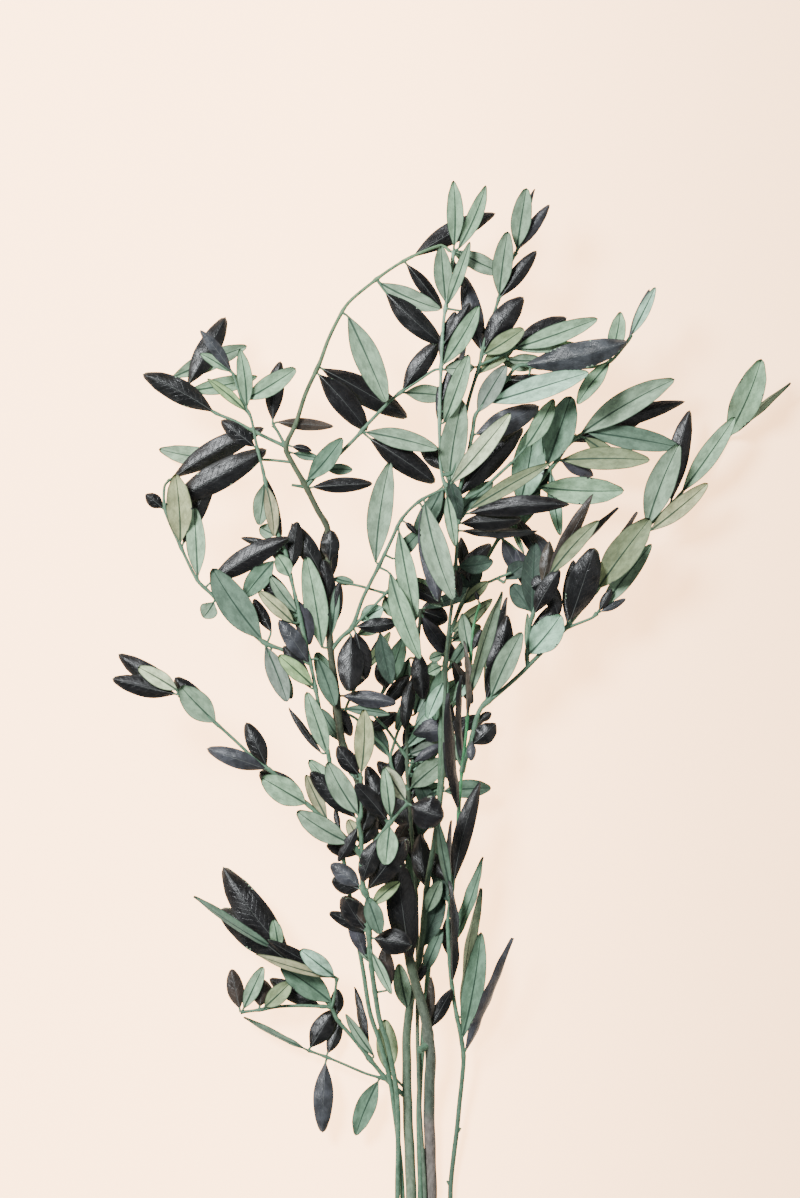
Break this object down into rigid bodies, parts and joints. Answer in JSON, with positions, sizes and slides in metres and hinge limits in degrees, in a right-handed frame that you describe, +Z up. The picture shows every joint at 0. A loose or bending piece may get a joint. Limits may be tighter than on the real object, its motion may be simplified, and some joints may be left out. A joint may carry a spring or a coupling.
{
  "type": "dried olive branch bunch",
  "caption": "Loose flat-lying bunch of cut, preserved olive stems with slender leaves, dark above and pale green below.",
  "frame": {"origin": "middle of the bunch's outline from above, at the floor it lies on", "axes": "+Y along the stems from the cut ends to the top leaves, +X to the right seen from above, +Z up"},
  "size_m": [0.469, 0.779, 0.0858],
  "materials": {
    "arching_branch": "dry preserved leaf and bark, dark upper faces, pale undersides",
    "left_branch": "dry preserved leaf and bark, mostly pale undersides",
    "low_front_spray": "dry preserved leaf and bark, mostly pale undersides",
    "centre_branch": "dry preserved leaf and bark, mixed faces",
    "right_upper_branch": "dry preserved leaf and bark, mostly pale undersides",
    "far_right_branch": "dry preserved leaf and bark, mixed faces",
    "inner_branch": "dry preserved leaf and bark, mixed faces"
  },
  "bodies": {
    "root": {"arching_branch": "arching_branch", "left_branch": "left_branch", "low_front_spray": "low_front_spray", "centre_branch": "centre_branch", "right_upper_branch": "right_upper_branch", "far_right_branch": "far_right_branch", "inner_branch": "inner_branch"}
  },
  "joints": []
}
